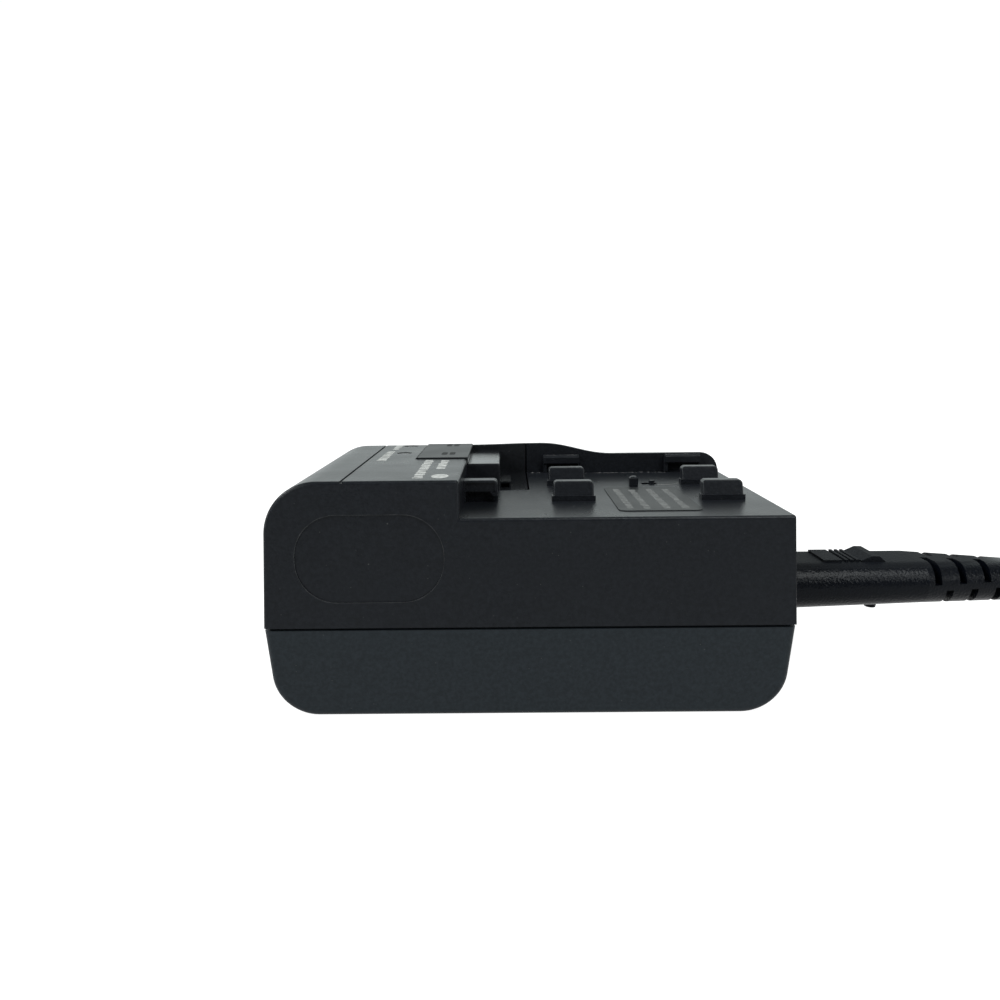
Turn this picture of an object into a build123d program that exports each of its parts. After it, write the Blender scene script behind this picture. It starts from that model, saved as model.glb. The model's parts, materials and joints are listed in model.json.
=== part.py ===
# Camera battery charger: a two-piece housing with an open battery deck, its electronics, and a mains lead.
# Millimetres. +X points to the mains inlet end, +Y to the guard wall, +Z up.
# The origin is on the floor under the middle of the housing.
from build123d import *
import math
import os

# Housing
length = 90.3
width = 63.4
parting_z = 16.4
block_z = 41.4
block_step = 6.4
deck_z = block_z - block_step
wall = 2.0
upper_draft = 2.0
lower_draft = (4.2, 6.4)
front_radius = 9.1
bottom_radius = 7.8
edge_round = 0.6
far_round = 3.2
end_round = 0.3
floor_round = 1.1
deck_length = 56.75
seam_gap = 0.45
seam_depth = 0.9

# Edges of the housing that other places are counted from
far_y = width / 2
right_x = length / 2
step_x = right_x - deck_length

# Guard wall behind the battery deck
guard_thick = 5.2
guard_inner_y = far_y - guard_thick
guard_high_z = block_z + 0.3
guard_low_z = deck_z + 4.2
guard_end_radius = 3.9
guard_core = 1.4
guard_skin = 1.5

# Terminal carrier set into the far half
groove_x = -right_x + 13.9
carrier_left_x = groove_x + 9.65
carrier_right_x = step_x + 12.2
carrier_near_y = guard_inner_y - 26.3
carrier_gap = 0.3
carrier_rebate = (0.9, 1.8)
carrier_proud = 0.28
carrier_overhang = 0.2
carrier_ledge = 1.5
ledge_right_x = step_x + 6.6
ledge_near_y = guard_inner_y - 25.2
ledge_z = block_z - 1.2
ledge_wall = 1.2
lug_size = (2.2, 9.5, 1.25)
contact_pitch = 7.0
contact_thick = 0.8
contact_height = 2.5
contact_depth = 4.2
contact_tail = 1.2
contact_lift = 1.4
guard_slope_x = (carrier_right_x + 3.5, carrier_right_x + 19.8)

# Battery hooks: two columns, and the back faces of the near and middle rows
hook_width = 8.05
hook_columns = (carrier_right_x + 4.1, right_x - 12.9)
hook_rows = (guard_inner_y - 40.8, guard_inner_y - 20.9)
hook_height = 3.6
hook_foot = 1.0
hook_stem = 2.2
hook_lip = 1.0
hook_lean = 0.9
hook_round = 0.3
far_lip_depth = 1.6
end_hook_y = hook_rows[0] - 1.3
end_hook_right_x = step_x + 6.3
end_hook_height = 4.2

# Small features of the deck and the block
post_place = (right_x - 23.0, guard_inner_y - 23.1)
post_size = (1.7, 1.7, 2.1)
key_slot = (right_x - 20.8, right_x - 17.7, guard_inner_y - 20.6, guard_inner_y - 18.2)
label_patch = (carrier_right_x + 15.2, right_x - 14.8, -far_y + 6.1, guard_inner_y - 25.3)
label_thick = 0.15
label_radius = 1.5
deck_step = (carrier_right_x + 13.2, right_x - 8.7, guard_inner_y - 16.0)
deck_step_depth = 0.15
groove_width = 0.45
groove_depth = 0.35
side_panel = (-right_x + 5.75, step_x - 2.7, parting_z + 4.45, block_z - 5.7)
side_panel_flat = 0.85
side_panel_radius = (side_panel[3] - side_panel[2] - side_panel_flat) / 2
side_panel_depth = 0.2

# Indicators
lamp_x = carrier_left_x - 3.7
lamp_rows = (guard_inner_y - 15.1, guard_inner_y - 0.9)
lamp_diameter = 3.2
lamp_recess = 0.15
led_height = 5.0
led_diameter = 3.0
led_flange = (3.6, 1.0)

# Circuit board, its posts and the case screws
board_bottom = 8.6
board_thick = 1.6
board_top = board_bottom + board_thick
board_size = (length - 8.0, width - 9.4)
post_diameter = 5.0
screw_x = right_x - 10.0
screw_y = far_y - 9.2
screw_places = ((-screw_x, -screw_y), (screw_x, -screw_y), (screw_x, screw_y), (-screw_x, screw_y))
boss_diameter = 7.0
screw_diameter = 2.9
screw_head = 5.2
screw_head_height = 1.8
screw_seat_z = 5.0
screw_length = 19.0

# Mains side of the board, counted from the back of the inlet and the far edge of the board
inlet_back_x = right_x - 12.2
board_far_y = board_size[1] / 2
board_near_y = -board_size[1] / 2
head_room = 3.8
tall = deck_z - wall - board_top - head_room
fuse_place = (inlet_back_x - 6.0, 0.0)
fuse_size = (12.0, 4.6, 5.2, 2.8)
choke_place = (inlet_back_x - 9.5, fuse_place[1] + 13.0)
choke_size = (9.0, 12.0, 13.0, 1.2)
transformer_at = (inlet_back_x - 27.0, 4.0)
core_leg = 6.0
bobbin_base = 3.0
core_size = (22.0, 8.0, tall - bobbin_base)
core_window = (4.0, core_size[2] - core_leg)
sink_corner = (inlet_back_x - 32.0, board_far_y - 1.6)
sink_size = (18.0, 2.5, tall)
sink_sheet = 1.5
transistor_size = (10.0, 3.2, 9.0)
transistor_lift = 3.5
transistor_tab = (1.3, tall - transistor_lift - 1.0)
lead_pitch = 2.54
primary_place = (inlet_back_x - 12.5, fuse_place[1] - 13.5)
primary_size = (11.5, tall)
bridge_corner = (inlet_back_x - 27.0, board_near_y + 4.0)
bridge_size = (8.5, 6.5, 3.2)
safety_place = (inlet_back_x - 31.0, transformer_at[1] - 15.0)
safety_size = (8.4, 3.4)

# Low-voltage side of the board, counted from the transformer and the near edge of the board
chip_corner = (inlet_back_x - 43.0, safety_place[1] - 7.5)
chip_size = (10.0, 4.0, 2.2)
opto_corner = (inlet_back_x - 44.5, transformer_at[1] - 12.5)
opto_size = (6.5, 4.5, 3.8)
output_x = inlet_back_x - 53.1
output_rows = (board_near_y + 9.0, board_near_y + 19.5)
output_size = (8.0, 14.0)

# Posts that hold the board, clear of what stands on it
near_post_y = -far_y + 8.7
board_posts = ((output_x - 8.0, near_post_y), (right_x - 20.0, near_post_y), (right_x - 20.0, choke_place[1] + 9.5),
               (-right_x + 14.0, far_y - 14.7))

# Mains inlet and the moulded connector of the lead
inlet_z = 16.3
pin_pitch = 8.6
pin_diameter = 2.4
nose_size = (15.8, 8.0)
nose_length = 7.8
fit = 0.2
body_front = (18.6, 9.3)
body_rear = (17.4, 8.2)
body_front_z = inlet_z - 0.25
body_rear_z = inlet_z + 0.3
body_rear_x = right_x + 32.8
relief_end_x = right_x + 52.8
relief_end_size = (9.6, 8.0)
relief_pitch = 5.3
relief_slot = 1.5
relief_slot_depth = 2.0
relief_spine = 0.9
relief_stagger = 2.1
grip_x = right_x + 13.6
grip_half = 4.8
grip_pad = (3.6, 0.85)
grip_rib = (0.56, 0.9)
grip_rib_pitch = 1.1
cord_diameter = 5.0
cord_z = inlet_z - 0.45

# Put-away coil, on the floor past the strain relief
coil_centre = (relief_end_x + 61.0, 8.0)
coil_middle_radius = 27.5
coil_across = 4
coil_layers = 2
coil_pitch = 5.1
tie_width = 7.0
tie_thick = 0.8
coil_half = (coil_across * coil_pitch) / 2
coil_outer = coil_middle_radius + coil_half
coil_inner = coil_middle_radius - coil_half
coil_height = coil_layers * coil_pitch

# Mains plug at the far end of the lead
plug_x = coil_centre[0] + 43.0
plug_y = coil_centre[1] - 31.6
plug_size = (21.0, 19.0, 13.0)
plug_relief = 15.0
plug_relief_radii = (3.4, 4.6)
blade_size = (15.9, 1.5, 6.3)
blade_pitch = 12.7

# The lead's route from the strain relief to the coil's outer turn, and from the coil to the plug
lead_points = [
    (relief_end_x, 0.0, cord_z),
    (relief_end_x + 10.0, 0.0, cord_z),
    (relief_end_x + 20.0, -2.6, 13.9),
    (relief_end_x + 29.4, -8.5, 10.0),
    (relief_end_x + 36.0, -16.6, 6.2),
    (relief_end_x + 44.2, -22.9, 3.6),
    (relief_end_x + 54.2, -26.5, 2.7),
]
tail_points = [
    (coil_centre[0] + 1.5, -27.15, 7.65),
    (coil_centre[0] + 11.0, -26.2, 7.0),
    (coil_centre[0] + 20.0, plug_y, plug_size[2] / 2),
    (plug_x - plug_relief, plug_y, plug_size[2] / 2),
]


def box(x0, x1, y0, y1, z0, z1):
    size = (x1 - x0, y1 - y0, z1 - z0)
    middle = ((x0 + x1) / 2, (y0 + y1) / 2, (z0 + z1) / 2)
    return Pos(*middle) * Box(*size)


def rod(x, y, z0, z1, diameter):
    return Pos(x, y, (z0 + z1) / 2) * Cylinder(diameter / 2, z1 - z0)


def across(x, sketch, y=0.0, z=0.0):
    # Puts a flat outline in the plane X = x, its own axes along Y and Z
    return Plane(origin=(x, y, z), x_dir=(0, 1, 0), z_dir=(1, 0, 0)) * sketch


def side_face(points):
    # Closed outline in the XZ plane
    return Plane.XZ * make_face(Polyline(*points, close=True))


def span_y(face, y0, y1):
    # Thickens an XZ face from y0 to y1
    return Pos(0, y0, 0) * extrude(face, amount=-(y1 - y0))


# Upper housing
def drafted_block(inset, height, draft):
    # Block standing on the parting line
    outline = Rectangle(length - 2 * inset, width - 2 * inset)
    return extrude(Plane.XY.offset(parting_z) * outline, amount=height, taper=draft)


def upper_profile(inset):
    left = -right_x
    low = parting_z - 1.0
    points = [
        (left - 2 + inset, low),
        (left - 2 + inset, block_z - inset),
        (step_x - inset, block_z - inset),
        (step_x - inset, deck_z - inset),
        (right_x + 2 - inset, deck_z - inset),
        (right_x + 2 - inset, low),
    ]
    return side_face(points)


def round_front(body, radius):
    front = [e for e in body.edges() if e.center().X < -right_x + 5 and e.center().Z > block_z - wall - 0.1]
    return fillet(front, radius)


def guard_wall():
    x0, x1 = guard_slope_x
    lean = math.tan(math.radians(upper_draft)) * (deck_z - parting_z)
    tip_x = right_x - lean
    start = (step_x - 1, deck_z - 1)
    rise = Spline((step_x - 1, block_z), (x0, guard_high_z), tangents=[(1, 0), (1, 0)])
    slope = Spline((x0, guard_high_z), (x1, guard_low_z), tangents=[(1, 0), (1, 0)])
    shoulder = tip_x - guard_end_radius
    tip = (tip_x, guard_low_z - guard_end_radius)
    edge = [
        Line(start, (step_x - 1, block_z)),
        rise,
        slope,
        Line((x1, guard_low_z), (shoulder, guard_low_z)),
        RadiusArc((shoulder, guard_low_z), tip, guard_end_radius),
        Line(tip, (tip_x, deck_z - 1)),
        Line((tip_x, deck_z - 1), start),
    ]
    face = Plane.XZ * make_face(edge)
    return span_y(face, guard_inner_y, far_y + 2)


def upper_solid():
    body = span_y(upper_profile(0), -far_y - 2, far_y + 2) + guard_wall()
    body = body & drafted_block(0, block_z + 1 - parting_z, upper_draft)
    body = round_front(body, front_radius)
    return soften_upper(body)


def soften_upper(body):
    # Large round along the far side, a fine one on the near side and the step, a finer one at the inlet end
    def is_upright(edge):
        c = edge.center()
        levels = [v.Z for v in edge.vertices()]
        return max(levels) - min(levels) > 5 and abs(c.X) > right_x - 5 and abs(c.Y) > far_y - 5

    def is_far(edge):
        c = edge.center()
        return c.Y > far_y - 2.0 and (c.Z > deck_z + 0.1 or is_upright(edge))

    def is_near(edge):
        c = edge.center()
        near_top = c.Y < -far_y + 2.5 and c.Z > deck_z - 0.5
        front = is_upright(edge) and c.X < 0 and c.Y < 0
        step_top = abs(c.X - step_x) < 0.3 and c.Z > block_z - 0.2
        return near_top or front or step_top

    def is_end(edge):
        c = edge.center()
        deck_end = c.X > right_x - 2.0 and abs(c.Z - deck_z) < 0.2 and c.Y < guard_inner_y
        return deck_end or (is_upright(edge) and c.X > 0 and c.Y < 0)

    for chosen, radius in ((is_far, far_round), (is_near, edge_round), (is_end, end_round)):
        body = fillet([edge for edge in body.edges() if chosen(edge)], radius)
    return body


def upper_cavity():
    hollow = span_y(upper_profile(wall), -far_y, far_y)
    hollow = hollow & drafted_block(wall, block_z - parting_z, upper_draft)
    return round_front(hollow, front_radius - wall)


def carrier_block(gap):
    # The space that the terminal carrier takes out of the upper housing
    x0, x1 = carrier_left_x - gap, carrier_right_x + gap
    y0, z0, z1 = carrier_near_y - gap, deck_z - wall - gap, block_z + 3
    step, depth = carrier_rebate
    inner = box(x0, x1, y0, guard_inner_y + depth + gap, z0, z1)
    return inner + box(x0, x1 - step, y0, far_y + 3, z0, z1)


# Battery hooks
def row_hook(x0, x1, y):
    z = deck_z
    top = z + hook_height
    points = [
        (0, z - 0.5),
        (0, z + hook_foot),
        (hook_lean, top),
        (hook_stem + hook_lip, top),
        (hook_stem + hook_lip, top - 1.2),
        (hook_stem, top - 1.6),
        (hook_stem, z - 0.5),
    ]
    face = across(x0 + 0.3, make_face(Polyline(*points, close=True)), y)
    arm = extrude(face, amount=x1 - x0 - 0.6)
    ends = [e for e in arm.edges() if abs(e.center().Z - top) < 0.01 and e.length > 1 and e.length < 3]
    arm = fillet(ends, 0.8)
    front = arm.faces().filter_by(lambda f: f.normal_at().Y < -0.5).sort_by(SortBy.AREA)[-1]
    arm = fillet([e for e in front.edges() if e.center().Z > z + hook_foot + 0.1], hook_round)
    foot = box(x0, x1, y - 0.2, y + hook_stem, z - 0.5, z + hook_foot)
    return arm + foot


def far_hook(x0, x1):
    y = guard_inner_y
    top = deck_z + hook_height + 0.4
    points = [
        (y + 0.8, top),
        (y - far_lip_depth + 0.5, top),
        (y - far_lip_depth, top - 0.5),
        (y - far_lip_depth, top - 1.8),
        (y + 0.8, top - 2.2),
    ]
    face = across(x0, make_face(Polyline(*points, close=True)))
    lip = extrude(face, amount=x1 - x0)
    gusset = box(x0, x0 + 0.8, y - far_lip_depth + 0.4, y + 0.8, deck_z - 0.5, top - 1.9)
    return lip + gusset


def end_hook():
    # The hook against the step wall, cored from the open side
    x0, x1 = step_x - 0.5, end_hook_right_x
    y, z = end_hook_y, deck_z
    top = z + end_hook_height
    body = box(x0, x1, y, y + 3.2, z - 0.5, top)
    corner = [e for e in body.edges() if abs(e.center().X - x1) < 0.01 and abs(e.center().Z - top) < 0.01]
    body = fillet(corner, 0.8)
    front = body.faces().sort_by(Axis.Y)[0]
    body = fillet([e for e in front.edges() if e.center().X > x0 + 0.5 and e.center().Z > z], hook_round)
    face = box(x0 + 0.9, x1 - 0.55, y - 1, y + 0.35, z + 1.9, top - 0.45)
    window = [
        (x0 + 0.9, z),
        (x0 + 0.9, z + 2.1),
        (x1 - 1.5, z + 2.1),
        (x1 - 0.8, z + 1.3),
        (x1 + 1, z + 1.3),
        (x1 + 1, z),
    ]
    core = span_y(side_face(window), y - 1, y + 2.0)
    return body - face - core


def deck_details(body):
    for x0 in hook_columns:
        x1 = x0 + hook_width
        recess = box(x0 + 0.8, x1, guard_inner_y - 0.01, guard_inner_y + 0.9, deck_z, deck_z + 1.9)
        body = body - recess
        body = body + far_hook(x0, x1)
        for y in hook_rows:
            body = body + row_hook(x0, x1, y)
    body = body + end_hook()
    x0, x1, y0 = deck_step
    body = body - box(x0, x1, y0, guard_inner_y, deck_z - deck_step_depth, deck_z + 0.1)
    px, py = post_place
    sx, sy, sz = post_size
    post = box(px - sx / 2, px + sx / 2, py - sy / 2, py + sy / 2, deck_z - 0.5, deck_z + sz)
    top_edges = [e for e in post.edges() if abs(e.center().Z - deck_z - sz) < 0.01]
    body = body + chamfer(top_edges, 0.35)
    x0, x1, y0, y1 = key_slot
    body = body - box(x0, x1, y0, y1, deck_z - 1.0, deck_z + 0.1)
    return body + rod(x1 - 1.0, (y0 + y1) / 2, deck_z - 1.5, deck_z + 0.7, 1.2)


def rating_label():
    # Plain stuck-on patch on the deck
    x0, x1, y0, y1 = label_patch
    patch = Pos((x0 + x1) / 2, (y0 + y1) / 2) * RectangleRounded(x1 - x0, y1 - y0, label_radius)
    return extrude(Plane.XY.offset(deck_z) * patch, amount=label_thick)


def block_details(body):
    groove = box(groove_x - groove_width / 2, groove_x + groove_width / 2, -far_y, far_y,
                 block_z - groove_depth, block_z + 1)
    body = body - groove
    for y in lamp_rows:
        body = body - rod(lamp_x, y, block_z - 2 * wall, block_z + 1, lamp_diameter)
    # Shallow panel in the near face, following that face's draft
    x0, x1, z0, z1 = side_panel
    outline = Pos((x0 + x1) / 2, (z0 + z1) / 2) * RectangleRounded(x1 - x0, z1 - z0, side_panel_radius)
    cutter = span_y(Plane.XZ * outline, -far_y - 2, 0)
    deep = drafted_block(side_panel_depth, block_z - parting_z, upper_draft)
    return body - (cutter - deep)


def roof_z(x):
    return (block_z if x < step_x else deck_z) - wall


def upper_housing():
    body = upper_solid() - upper_cavity()
    core_y = guard_inner_y + guard_skin
    body = body - box(carrier_right_x + guard_skin, right_x - guard_thick + 1.2, core_y, core_y + guard_core,
                      deck_z - wall - 1, deck_z + wall)
    body = deck_details(body)
    body = body - carrier_block(carrier_gap)
    # Ledges that the carrier rests on, at the deck and under the block's top
    reach = 3.0
    for x0, x1, top in ((carrier_left_x, step_x - wall, block_z - wall), (step_x, carrier_right_x, deck_z - wall)):
        low = top - carrier_ledge
        body = body + box(x0 - reach, x1, carrier_near_y - reach, carrier_near_y + reach, low, top)
    x0, x1 = carrier_right_x - reach, carrier_right_x + reach
    body = body + box(x0, x1, carrier_near_y - reach, far_y - 3, deck_z - wall - carrier_ledge, deck_z - wall)
    x0, x1 = carrier_left_x - reach, carrier_left_x + reach / 2
    body = body + box(x0, x1, carrier_near_y - reach, far_y - 3.5, block_z - wall - carrier_ledge, block_z - wall)
    for x, y in board_posts:
        body = body + rod(x, y, board_top, roof_z(x) + 0.5, post_diameter - 1)
    for x, y in screw_places:
        boss = rod(x, y, parting_z, roof_z(x) + 0.5, boss_diameter)
        body = body + boss - rod(x, y, parting_z - 1, screw_seat_z + screw_length + 1, screw_diameter)
    body = block_details(body)
    return body - inlet_opening()


# Lower housing
def lower_block(inset):
    # Where two tapered bars cross, so that ends and sides have their own draft
    drop = parting_z - inset
    lean_x, lean_y = [drop * math.tan(math.radians(draft)) for draft in lower_draft]
    hx, hy = right_x - inset, far_y - inset
    ends = side_face([(-hx, parting_z), (hx, parting_z), (hx - lean_x, inset), (-hx + lean_x, inset)])
    sides = Polyline((-hy, parting_z), (hy, parting_z), (hy - lean_y, inset), (-hy + lean_y, inset), close=True)
    return span_y(ends, -hy, hy) & extrude(across(-hx, make_face(sides)), amount=2 * hx)


def lower_solid(inset):
    body = lower_block(inset)
    ends = [e for e in body.edges() if e.center().Z < inset + 0.1 and abs(e.center().X) > right_x - 10]
    return fillet(ends, bottom_radius - inset)


def soften_lower(body):
    for side, radius in ((-1, floor_round), (1, far_round)):
        outer = [e for e in body.edges() if side * e.center().Y > far_y - 5 and e.center().Z < parting_z - 0.1]
        body = fillet(outer, radius)
    return body


def lower_housing():
    body = soften_lower(lower_solid(0)) - lower_solid(wall)
    rim = box(-length, length, -width, width, parting_z - seam_gap, parting_z + 1)
    body = body - (rim - box(-right_x + seam_depth, right_x - seam_depth, -far_y + seam_depth,
                             far_y - seam_depth, 0, parting_z + 2))
    for x, y in board_posts:
        body = body + rod(x, y, wall - 0.5, board_bottom, post_diameter)
    for x, y in screw_places:
        body = body + rod(x, y, wall - 0.5, parting_z, boss_diameter)
        body = body - rod(x, y, -1, screw_seat_z, screw_head + 0.8)
        body = body - rod(x, y, -1, parting_z + 1, screw_diameter + 0.4)
    return body - inlet_opening()


def inlet_opening():
    outline = across(inlet_back_x + 6, SlotOverall(nose_size[0] + 1.0, nose_size[1] + 1.0), 0, inlet_z)
    return extrude(outline, amount=20)


# Terminal carrier and its contacts
def carrier_shell():
    hollow = upper_solid() - upper_cavity()
    plate = box(carrier_left_x, step_x + carrier_overhang, carrier_near_y, far_y - far_round - 1.0,
                block_z - 1, block_z + carrier_proud)
    top_edges = plate.edges().group_by(Axis.Z)[-1]
    return (hollow & carrier_block(0)) + chamfer(top_edges, 0.1)


def contact_rows():
    middle = (ledge_near_y + guard_inner_y) / 2
    return [middle + step * contact_pitch for step in (-1, 0, 1)]


def terminal_carrier():
    body = carrier_shell()
    x0, x1 = step_x - 1.0, ledge_right_x
    ledge = box(x0, x1, ledge_near_y, guard_inner_y + 0.5, deck_z - 0.5, ledge_z)
    front = [e for e in ledge.edges() if e.center().X > x1 - 0.01 and e.center().Z > deck_z]
    front += [e for e in ledge.edges().filter_by(Axis.X) if e.center().Y < ledge_near_y + 0.01 and e.center().Z > deck_z]
    ledge = fillet(front, 0.4)
    body = body + ledge
    lx, ly, lz = lug_size
    y0 = ledge_near_y + 2.2
    lug = box(x1 - 0.5, x1 + lx, y0, y0 + ly, deck_z - 0.5, deck_z + lz)
    lug = lug - box(x1 + 0.2, x1 + lx - 0.35, y0 - 1, y0 + 3, deck_z, deck_z + lz - 0.35)
    rib = box(x1 - 0.5, x1 + 1.1, y0 + ly - 1, guard_inner_y + 0.3, deck_z - 0.5, deck_z + 0.6)
    body = body + lug + rib
    inner = box(x0 - wall, x1 - ledge_wall, ledge_near_y + ledge_wall, guard_inner_y - ledge_wall,
                deck_z - wall - 1, ledge_z - ledge_wall)
    body = body - inner
    for y in contact_rows():
        z0 = deck_z + contact_lift
        slot = box(x1 - ledge_wall - 0.5, x1 + 0.5, y - contact_thick / 2, y + contact_thick / 2,
                   z0, z0 + contact_height)
        body = body - slot
    return body


def terminal_contact(y):
    # A flat blade in its slot, with a tail down to the board
    x1 = ledge_right_x - 0.25
    x0 = x1 - contact_depth
    z0 = deck_z + contact_lift
    y0, y1 = y - contact_thick / 2, y + contact_thick / 2
    blade = box(x0, x1, y0, y1, z0, z0 + contact_height)
    return blade + box(x0, x0 + contact_tail, y0, y1, board_top, z0 + contact_height)


# Indicators
def light_pipe(y):
    body = rod(lamp_x, y, board_top + led_height, block_z - lamp_recess, lamp_diameter)
    rim = [e for e in body.edges() if e.center().Z > block_z - 1]
    return fillet(rim, 0.3)


def indicator_led(y):
    body = rod(lamp_x, y, board_top, board_top + led_height, led_diameter)
    return body + rod(lamp_x, y, board_top, board_top + led_flange[1], led_flange[0])


# Circuit board and what stands on it
def circuit_board():
    sx, sy = board_size
    outline = RectangleRounded(sx, sy, 1.5)
    body = extrude(Plane.XY.offset(board_bottom) * outline, amount=board_thick)
    for x, y in screw_places:
        body = body - rod(x, y, board_bottom - 1, board_top + 1, boss_diameter + 1)
    return body


def transformer_core():
    x, y = transformer_at
    sx, sy, sz = core_size
    z0 = board_top + bobbin_base
    body = box(x - sx / 2, x + sx / 2, y - sy / 2, y + sy / 2, z0, z0 + sz)
    w, h = core_window
    low = z0 + (sz - h) / 2
    for side in (-1, 1):
        middle = x + side * (core_leg + w) / 2
        body = body - box(middle - w / 2, middle + w / 2, y - sy, y + sy, low, low + h)
    return body


def transformer_winding():
    x, y = transformer_at
    sx, sy, sz = core_size
    w, h = core_window
    low = board_top + bobbin_base + (sz - h) / 2
    half = core_leg / 2 + w
    turns = box(x - half, x + half, y - sy / 2 - w, y + sy / 2 + w, low, low + h)
    upright = [e for e in turns.edges() if abs(e.center().Z - low - h / 2) < 0.01]
    turns = fillet(upright, 2.0)
    turns = turns - box(x - core_leg / 2, x + core_leg / 2, y - sy / 2, y + sy / 2, low - 1, low + h + 1)
    base = box(x - sx / 2, x + sx / 2, y - sy / 2 - w, y + sy / 2 + w, board_top, board_top + bobbin_base)
    body = turns + base
    for side in (-1, 1):
        edge = y + side * (sy / 2 + 0.6)
        body = body + box(x - half + 1, x + half - 1, edge - 0.6, edge + 0.6, board_top, low + 1)
    return body


def can_capacitor(x, y, diameter, height):
    body = rod(x, y, board_top, board_top + height, diameter)
    ends = body.edges().filter_by(GeomType.CIRCLE).sort_by(Axis.Z)[-1]
    body = fillet(ends, 0.6)
    top = board_top + height
    for turn in (0, 90):
        body = body - Pos(x, y, top) * Rot(0, 0, turn) * Box(diameter * 0.6, 0.3, 0.4)
    return body


def line_choke():
    x, y = choke_place
    core, flange, height, thick = choke_size
    body = rod(x, y, board_top, board_top + height, core)
    for z in (board_top, board_top + height - thick):
        body = body + rod(x, y, z, z + thick, flange)
    return body


def mains_fuse():
    x, y = fuse_place
    reach, tube, cap, cap_length = fuse_size
    z = board_top + cap / 2
    body = Pos(x, y, z) * Rot(90, 0, 0) * Cylinder(tube / 2, reach)
    for side in (-1, 1):
        end = Pos(x, y + side * (reach - cap_length) / 2, z)
        body = body + end * Rot(90, 0, 0) * Cylinder(cap / 2, cap_length)
    return body


def bridge_rectifier():
    x, y = bridge_corner
    sx, sy, sz = bridge_size
    body = box(x, x + sx, y, y + sy, board_top, board_top + sz)
    return chamfer(body.edges().group_by(Axis.Z)[-1], 0.4)


def control_chip():
    x, y = chip_corner
    sx, sy, sz = chip_size
    body = box(x, x + sx, y, y + sy, board_top + 0.2, board_top + sz)
    for step in range(4):
        leg = x + 1.2 + step * lead_pitch
        body = body + box(leg - 0.25, leg + 0.25, y - 1.5, y + sy + 1.5, board_top, board_top + 0.4)
    return body


def heat_sink():
    # Upright sheet with its top bent outwards
    x, y = sink_corner
    sx, bend, sz = sink_size
    top = board_top + sz
    body = box(x, x + sx, y - bend - sink_sheet, y - bend, board_top, top)
    return body + box(x, x + sx, y - bend, y, top - sink_sheet, top)


def switching_transistor():
    x = sink_corner[0] + (sink_size[0] - transistor_size[0]) / 2
    back = sink_corner[1] - sink_size[1] - sink_sheet
    sx, sy, sz = transistor_size
    tab, tab_height = transistor_tab
    z = board_top + transistor_lift
    body = box(x, x + sx, back - tab - sy, back - tab, z, z + sz)
    body = body + box(x, x + sx, back - tab, back, z, z + tab_height)
    for step in (-1, 0, 1):
        leg = x + sx / 2 + step * lead_pitch
        y = back - tab - sy / 2
        body = body + box(leg - 0.4, leg + 0.4, y - 0.3, y + 0.3, board_top, z + 0.1)
    return body


def optocoupler():
    x, y = opto_corner
    sx, sy, sz = opto_size
    body = box(x, x + sx, y, y + sy, board_top + 0.3, board_top + sz)
    for step in (-1, 1):
        leg = x + (sx + step * lead_pitch) / 2
        body = body + box(leg - 0.3, leg + 0.3, y - 0.6, y + sy + 0.6, board_top, board_top + 0.9)
    return body


def safety_capacitor():
    x, y = safety_place
    diameter, thick = safety_size
    disc = Pos(x, y, board_top + 1.0 + diameter / 2) * Rot(90, 0, 0) * Cylinder(diameter / 2, thick)
    legs = box(x - lead_pitch, x + lead_pitch, y - 0.4, y + 0.4, board_top, board_top + diameter / 2)
    return disc + legs


# Mains inlet
def inlet_socket():
    half = nose_size[0] / 2 + 2.6
    end_wall_x = right_x - wall - fit
    body = box(inlet_back_x, end_wall_x, -half, half, board_top, 2 * inlet_z - board_top)
    cavity = across(inlet_back_x + 2.5, SlotOverall(nose_size[0] + 2 * fit, nose_size[1] + 2 * fit), 0, inlet_z)
    body = body - extrude(cavity, amount=20)
    for side in (-1, 1):
        y = side * pin_pitch / 2
        body = body - Pos(inlet_back_x, y, inlet_z) * Rot(0, 90, 0) * Cylinder(pin_diameter / 2, 8)
    keep = drafted_block(wall + fit, block_z - parting_z, upper_draft) + lower_solid(wall + fit)
    return body & keep


def inlet_pins():
    pins = []
    x0, x1 = inlet_back_x - 1.8, right_x - wall - 1.5
    for side in (-1, 1):
        y = side * pin_pitch / 2
        pin = Pos((x0 + x1) / 2, y, inlet_z) * Rot(0, 90, 0) * Cylinder(pin_diameter / 2, x1 - x0)
        tip = [e for e in pin.edges().filter_by(GeomType.CIRCLE) if e.center().X > x1 - 0.1]
        pin = fillet(tip, 0.8)
        pin = pin + box(x0, x0 + 1.2, y - 0.6, y + 0.6, board_top, inlet_z)
        pins.append(pin)
    return Compound(children=pins)


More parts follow.
